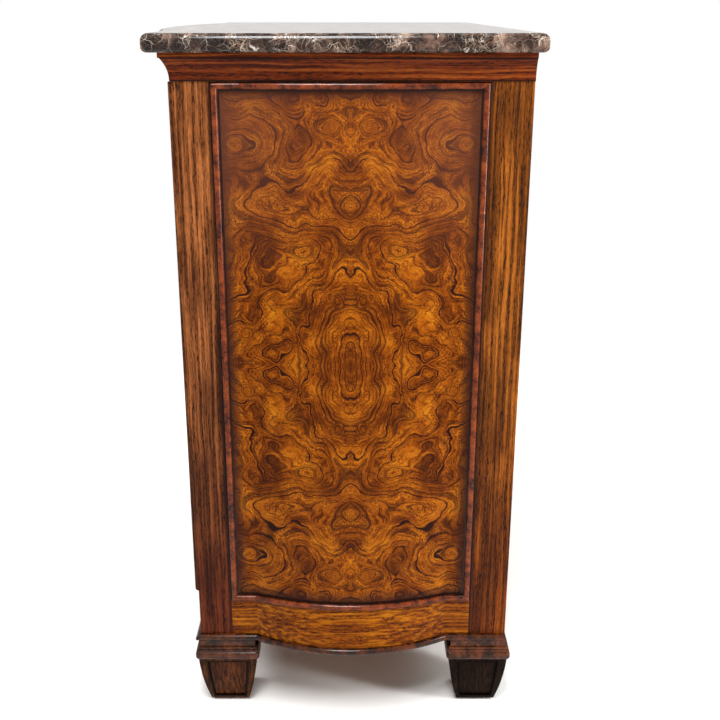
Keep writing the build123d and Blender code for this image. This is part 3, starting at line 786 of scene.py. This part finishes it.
@dataclass(frozen=True)
class BackScrews:
    """Slotted brass screws round the back panel's edge, each stopped at its own turn, in metres."""

    inset: float = 0.018
    count: int = 22
    radius: float = 0.0042
    slot_half: float = 0.0007
    slot_floor: float = 0.0002
    profile: tuple[tuple[float, float], ...] = (
        (0.0, 1.0), (0.0004, 1.0), (0.0009, 0.86), (0.0012, 0.62), (0.0013, 0.3))
    facets: int = 20
    seed: int = 7

    def head(self) -> bpy.types.Object:
        """Turn one domed head that faces backwards, with its slot sunk across it."""
        points, faces = [], []
        for lift, share in self.profile:
            for i in range(self.facets):
                turn = math.tau * (i + 0.5) / self.facets
                x, z = (self.radius * share * side for side in (math.cos(turn), math.sin(turn)))
                in_slot = abs(z) < self.slot_half and share < 0.9
                points.append((x, self.slot_floor if in_slot else lift, z))
        last = (len(self.profile) - 1) * self.facets
        for start in range(0, last, self.facets):
            for i in range(self.facets):
                a, b = start + i, start + (i + 1) % self.facets
                faces.append((a + self.facets, b + self.facets, b, a))
        faces.append(tuple(reversed(range(last, last + self.facets))))
        mesh = bpy.data.meshes.new("back_screws")
        mesh.from_pydata(points, [], faces)
        screw = bpy.data.objects.new("back_screws", mesh)
        bpy.context.collection.objects.link(screw)
        return screw

    def build(self, brass: bpy.types.Material) -> None:
        """Set the screws round the panel.

        Args:
            brass: Their finish.
        """
        panel = Extent.of("back_panel")
        width, height = (2 * (panel.half(axis) / MM_PER_M - self.inset) for axis in (Axis.X, Axis.Z))
        place = (panel.middle(Axis.X), panel.high.y, panel.middle(Axis.Z))
        g = Grower("screws_round_a_panel")
        width = g.take("Width", "NodeSocketFloat", width)
        height = g.take("Height", "NodeSocketFloat", height)
        count = g.take("Count", "NodeSocketInt", self.count)
        place = g.take("Place", "NodeSocketVector", tuple(part / MM_PER_M for part in place))
        seed = g.take("Seed", "NodeSocketInt", self.seed)
        edge = g.add(Node.RECTANGLE, width=width, height=height)
        upright = g.add(Node.MOVED, geometry=g.add(Node.SPACED, curve=edge, count=count),
                        translation=place, rotation=(math.pi / 2, 0.0, 0.0))
        turn = g.add(Node.RANDOM_TURN, max=(0.0, math.pi, 0.0), seed=seed)
        placed = g.add(Node.COPIES, points=upright, instance=g.source.outputs["Piece"], rotation=turn)
        real = g.add(Node.REAL, geometry=placed)
        screws = self.head()
        g.grow(screws, g.add(Node.COATED, geometry=real, material=brass))
        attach(screws, "chest")
        log.info("set %d screws in the back", self.count)


@dataclass(frozen=True)
class SoftBox:
    """A soft studio lamp, in metres; one that isn't mirrored casts light but no reflection."""

    name: str
    place: tuple[float, float, float]
    aim: tuple[float, float, float]
    size: tuple[float, float]
    watts: float
    mirrored: bool = True

    def build(self) -> None:
        """Hang the lamp and point it."""
        data = bpy.data.lights.new(self.name, "AREA")
        data.shape, data.size, data.size_y = "RECTANGLE", *self.size
        data.energy = self.watts
        lamp = bpy.data.objects.new(self.name, data)
        lamp.location = self.place
        way = Vector(self.aim) - Vector(self.place)
        lamp.rotation_euler = way.to_track_quat("-Z", "Y").to_euler()
        lamp.visible_glossy = self.mirrored
        bpy.context.collection.objects.link(lamp)
        log.info("lamp %s", self.name)


@dataclass(frozen=True)
class Studio:
    """The floor, the light and the camera of the photograph."""

    eye: tuple[float, float, float] = (1.754, 0.024, 1.0155)
    pitch: float = 18.9
    lens: float = 51.6
    sensor: float = 36.0
    shift: float = 0.0132
    dim: float = 0.34
    white: str = "#ffffff"
    floor_tone: str = "#f1f0ee"
    floor_reach: float = 6.0
    floor_sides: int = 96
    floor_fade: tuple[float, float] = (0.75, 1.7)
    lamps: tuple[SoftBox, ...] = (
        SoftBox("key_over_side", (1.3, -0.1, 2.15), (0.35, 0.0, 0.5), (0.5, 0.9), 46.0),
        SoftBox("strip_beyond_back", (1.05, 1.7, 0.95), (0.4, 0.1, 0.5), (0.18, 1.5), 34.0),
        SoftBox("over_top", (-0.1, 0.0, 2.6), (0.0, 0.0, 0.9), (1.8, 1.8), 30.0, False),
        SoftBox("key_over_front", (-0.5, -1.9, 2.0), (0.0, -0.2, 0.5), (1.2, 0.6), 42.0, False),
        SoftBox("fill_back", (-1.6, 1.6, 1.6), (0.0, 0.2, 0.5), (1.2, 0.8), 36.0, False))

    def camera(self) -> None:
        """Set the camera where the photograph was taken, looking along -X."""
        data = bpy.data.cameras.new("camera")
        data.lens, data.sensor_width, data.shift_x = self.lens, self.sensor, self.shift
        camera = bpy.data.objects.new("camera", data)
        camera.location = self.eye
        camera.rotation_euler = (math.radians(90 - self.pitch), 0.0, math.radians(90))
        bpy.context.collection.objects.link(camera)
        bpy.context.scene.camera = camera

    def seen(self, g: Graph) -> Socket:
        """Give 1 for rays that see the background, and 0 for those that light the object."""
        camera, glossy, through = (
            g.add(Node.RAYS, out=f"Is {ray} Ray") for ray in ("Camera", "Glossy", "Transmission"))
        return g.add(Node.HIGHEST, g.add(Node.HIGHEST, camera, glossy), through)

    def world(self) -> None:
        """Make a white surround that lights the object dimly."""
        world = bpy.data.worlds.new("surround")
        world.use_nodes = True
        g = Graph(world.node_tree)
        strength = g.add(Node.RANGE, self.seen(g), 0.0, 1.0, self.dim, 1.0)
        g.finish(g.add(Node.SKY, self.white, strength), "ShaderNodeOutputWorld")
        bpy.context.scene.world = world

    def floor(self) -> None:
        """Lay a round pale floor that fades into the surround."""
        turns = [math.tau * i / self.floor_sides for i in range(self.floor_sides)]
        rim = [(self.floor_reach * math.cos(a), self.floor_reach * math.sin(a), 0.0) for a in turns]
        mesh = bpy.data.meshes.new("floor")
        mesh.from_pydata(rim, [], [tuple(range(self.floor_sides))])
        material, g = new_material("floor_pale")
        away = g.add(Node.LENGTH, g.add(Node.PLACE, out="Object"), out="Value")
        far = g.add(Node.MULTIPLY, g.add(Node.RANGE, away, *self.floor_fade, 0.0, 1.0), self.seen(g))
        plain = g.add(Node.SURFACE, self.floor_tone, roughness=0.9, specular_ior_level=0.1)
        g.finish(g.add(Node.EITHER, far, plain, g.add(Node.GLOW, self.white, 1.0)))
        mesh.materials.append(material)
        floor = bpy.data.objects.new("floor", mesh)
        bpy.context.collection.objects.link(floor)

    def build(self) -> None:
        """Set up the studio."""
        bpy.context.scene.view_settings.view_transform = "Standard"
        self.camera()
        self.world()
        self.floor()
        for lamp in self.lamps:
            lamp.build()


@dataclass(frozen=True)
class Case:
    """The fixed case: marble, cornice, posts, rails, panels, base, feet and back."""

    fore_stain: Stain = Stain("#9c5c30", "#693a1b", "#3c1c0c", "#1c0a04")
    aft_stain: Stain = Stain("#9a571b", "#66350c", "#3a1b05", "#1a0903")
    amber: Stain = Stain("#a35f09", "#783a03", "#4c1e02", "#2e1002")
    red_brown: Stain = Stain("#904818", "#66270b", "#3a1306", "#200a04")
    fore_foot_stain: Stain = Stain("#5c3014", "#40200c", "#281206", "#120602")
    # the back feet's stain is a darker copy of the front feet's, painted shade
    aft_foot_shaded: Stain = Stain("#26160c", "#190d07", "#0f0704", "#060302")
    pine: Stain = Stain("#96693a", "#80562a", "#68431f", "#4c2f17")
    ply: Stain = Stain("#885f36", "#74502a", "#5e3e20", "#432a16")

    def posts(self) -> None:
        """Dress the posts and pilasters, with painted shade towards the floor and beside the panels."""
        panel = Extent.of("right_panel")
        fore = OpenGrainAsh("ash_stile_fore", Axis.Z, self.fore_stain, low_shade="#8a4c3a", beside=panel)
        aft = OpenGrainAsh("ash_stile_aft", Axis.Z, self.aft_stain, low_shade="#cba659", beside=panel)
        dress([name for side in SIDES for name in (f"front_{side}_post", f"{side}_pilaster")],
              fore.build())
        dress([f"back_{side}_post" for side in SIDES], aft.build())

    def rails(self) -> None:
        """Dress the amber rails, each with the grain along it."""
        side = OpenGrainAsh("ash_rail_amber_side", Axis.Y, self.amber, pore_long=8.0)
        front = OpenGrainAsh("ash_rail_amber_front", Axis.X, self.amber, pore_long=8.0)
        dress([f"{end}_{level}_rail" for level in ("top", "bottom") for end in SIDES], side.build())
        dress(["front_bottom_rail", "front_top_rail", "drawer_rails"], front.build())

    def cornice(self) -> None:
        """Dress the cornice, with painted shade under it, under its fillet and under the marble."""
        box = Extent.of("cornice_right")
        quirks = ((box.low.z, 2.4), (box.high.z - 7.3, 1.5), (box.high.z + 0.5, 1.2))
        for name, along, ends in (("side", Axis.Y, SIDES), ("front", Axis.X, ("front",))):
            wood = OpenGrainAsh(f"cornice_wood_{name}", along, self.red_brown, roughness=0.24,
                                pore_long=9.0, mottle=0.35, quirks=quirks)
            dress([f"cornice_{end}" for end in ends], wood.build())

    def panels(self) -> None:
        """Dress the veneered ends and the beads round them."""
        box = Extent.of("right_panel_moulding")
        bead = RubbedBead("panel_bead_rubbed", box=box)
        dress([f"{side}_panel_moulding" for side in SIDES], bead.build())
        dress([f"{side}_panel" for side in SIDES], BurrVeneer("burr_veneer_side_panel", box).build())

    def base(self) -> None:
        """Dress the base bead, the caps and the feet."""
        bead = RubbedBead("base_bead_rubbed", crown="#54280f", body="#281106", wax_and_shade="#0e0503")
        dress([f"base_moulding_{side}" for side in (*SIDES, "front")], bead.build())
        cap = RubbedBead("foot_cap_rubbed", crown="#5c2f16", body="#321607", wax_and_shade="#120703", roughness=0.12)
        dress(["foot_caps"], cap.build())
        # the back feet take the darker copy, which paints shade on them
        for name, end, stain, shine in (("fore", "front", self.fore_foot_stain, 0.05),
                                        ("aft", "back", self.aft_foot_shaded, 0.03)):
            wood = OpenGrainAsh(f"foot_wood_{name}", Axis.Z, stain, shine=shine,
                                sunk=SunkPanel(Extent.of(f"{end}_right_foot")))
            dress([f"{end}_{side}_foot" for side in SIDES], wood.build())

    def carcass(self, brass: bpy.types.Material) -> None:
        """Dress the plain wood inside and behind, and set the screws in the back.

        Args:
            brass: The screws' finish.
        """
        pine = OpenGrainAsh("carcass_pine_plain", Axis.X, self.pine, roughness=0.6)
        dress(["top_board", "bottom_board", "back_top_rail", "back_bottom_rail", "top_kickers",
               "drawer_runners"], pine.build())
        dress(["back_panel"], OpenGrainAsh("back_panel_ply", Axis.Z, self.ply, roughness=0.65).build())
        BackScrews().build(brass)

    def build(self, brass: bpy.types.Material) -> None:
        """Dress every part of the case.

        Args:
            brass: The screws' finish.
        """
        dress(["marble_top"], EmperadorMarble().build())
        self.posts()
        self.rails()
        self.cornice()
        self.panels()
        self.base()
        self.carcass(brass)


@dataclass(frozen=True)
class Drawers:
    """The four drawers, from 1 at the top, each cut from its own place in the burr."""

    shifts: dict[int, float] = field(default_factory=lambda: {1: 25.0, 2: 170.0, 3: 90.0, 4: 175.0})
    leaf: float = 172.0
    play: float = 1.5
    ash: Stain = Stain("#c8a473", "#b48e5c", "#9a7546", "#7b5a33")

    def build(self, brass: bpy.types.Material) -> None:
        """Dress every part of the drawers.

        Args:
            brass: The knobs' finish.
        """
        lining = OpenGrainAsh("drawer_lining_ash", Axis.Y, self.ash, roughness=0.5).build()
        for number, shift in self.shifts.items():
            box = Extent.of(f"drawer_{number}_moulding")
            face = BurrVeneer(f"burr_veneer_drawer_{number}", box, across=Axis.X, leaf=self.leaf,
                              shift=shift, play=self.play, upright=False)
            bead = RubbedBead(f"drawer_{number}_bead_rubbed", box=box, across=Axis.X)
            dress([f"drawer_{number}_front"], face.build())
            dress([f"drawer_{number}_moulding"], bead.build())
            dress([f"drawer_{number}_{part}" for part in ("sides", "back", "bottom")], lining)
            dress([f"drawer_{number}_knobs"], brass)


def main() -> None:
    """Build the studio, the case and the drawers."""
    logging.basicConfig(level=logging.INFO, format="%(name)s: %(message)s")
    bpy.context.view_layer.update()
    Studio().build()
    brass = AgedBrass().build()
    Case().build(brass)
    Drawers().build(brass)


if __name__ == "__main__":
    main()
